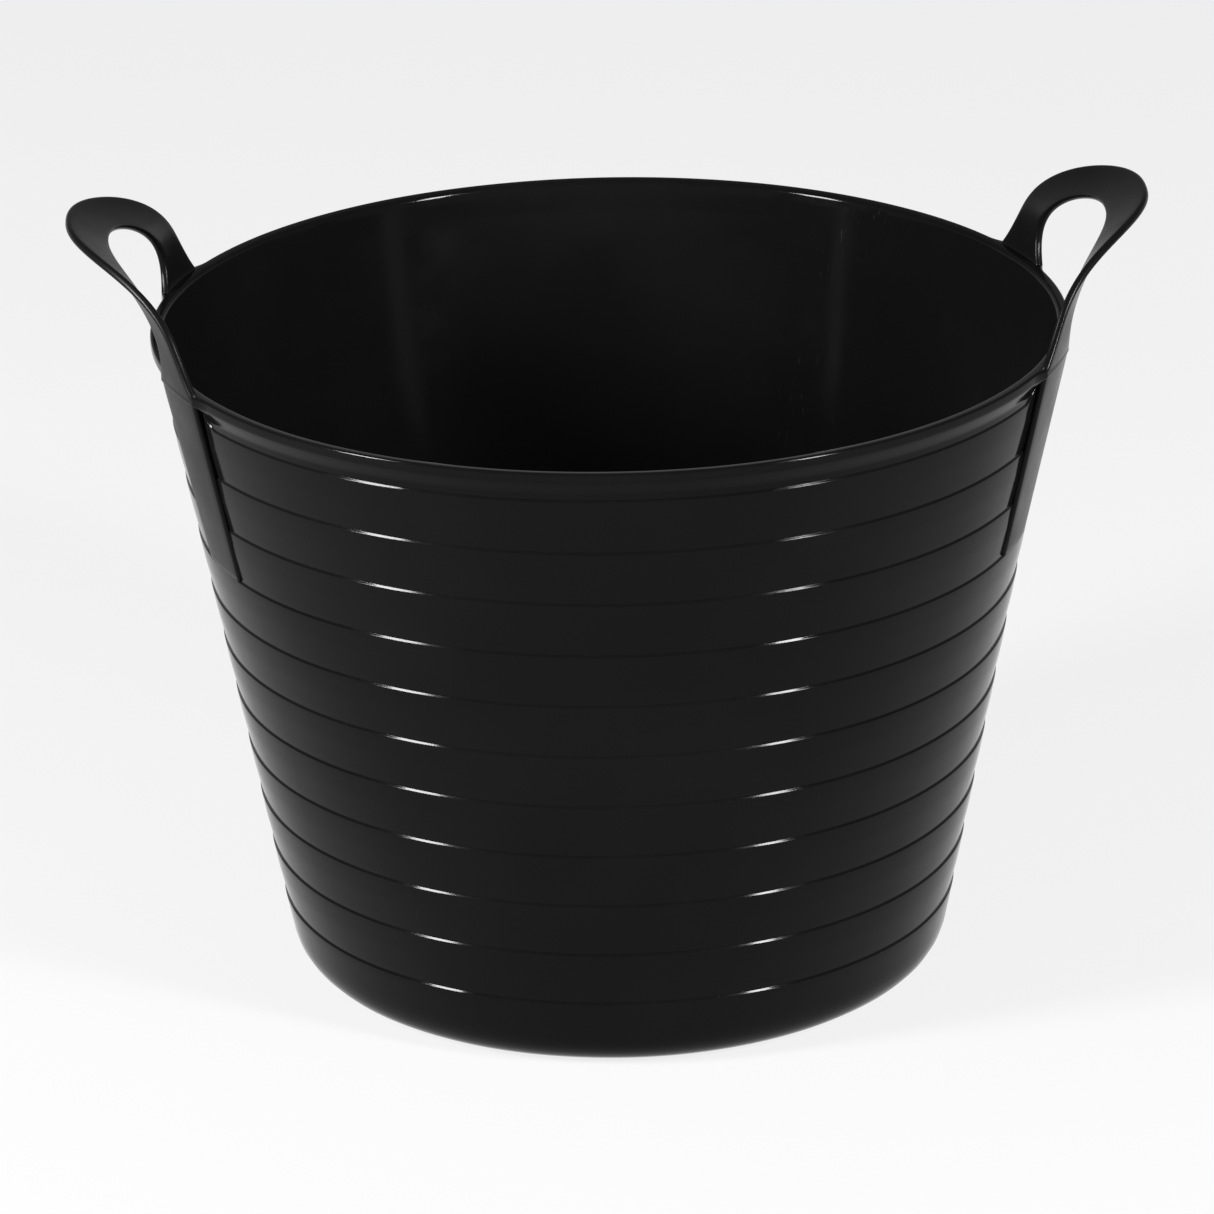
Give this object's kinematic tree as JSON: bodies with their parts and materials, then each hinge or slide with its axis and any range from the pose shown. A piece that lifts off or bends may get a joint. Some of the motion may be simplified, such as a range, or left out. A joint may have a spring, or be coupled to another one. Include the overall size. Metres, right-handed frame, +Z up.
{
  "type": "flexible feed bucket",
  "caption": "Round tapered flexible feed bucket with a banded wall, thick rolled rim and flared loop handles rising from opposite sides.",
  "frame": {"origin": "centre of the base at floor level", "axes": "+Z up out of the mouth, +X through the right handle, -Y the front"},
  "size_m": [0.5282, 0.45, 0.3908],
  "materials": {
    "tub": "satin black flexible polyethylene",
    "handles": "satin black flexible polyethylene"
  },
  "bodies": {
    "tub": {"floor": "tub", "heel": "tub", "band_01": "tub", "band_02": "tub", "band_03": "tub", "band_04": "tub", "band_05": "tub", "band_06": "tub", "band_07": "tub", "band_08": "tub", "band_09": "tub", "band_10": "tub", "rim": "tub", "gusset_left_front": "tub", "gusset_left_rear": "tub", "gusset_right_front": "tub", "gusset_right_rear": "tub"},
    "handle_left": {"handle_left_grip": "handles", "handle_left_leg_front": "handles", "handle_left_leg_rear": "handles"},
    "handle_right": {"handle_right_grip": "handles", "handle_right_leg_front": "handles", "handle_right_leg_rear": "handles"}
  },
  "joints": [
    {"name": "handle_left_flex", "type": "hinge", "parent": "tub", "child": "handle_left", "pos_m": [-0.21272, 0, 0.342], "axis": [0, -1, 0], "range_deg": [-40, 15], "stiffness_Nm_per_rad": 3},
    {"name": "handle_right_flex", "type": "hinge", "parent": "tub", "child": "handle_right", "pos_m": [0.21272, 0, 0.342], "axis": [0, 1, 0], "range_deg": [-40, 15], "stiffness_Nm_per_rad": 3}
  ]
}
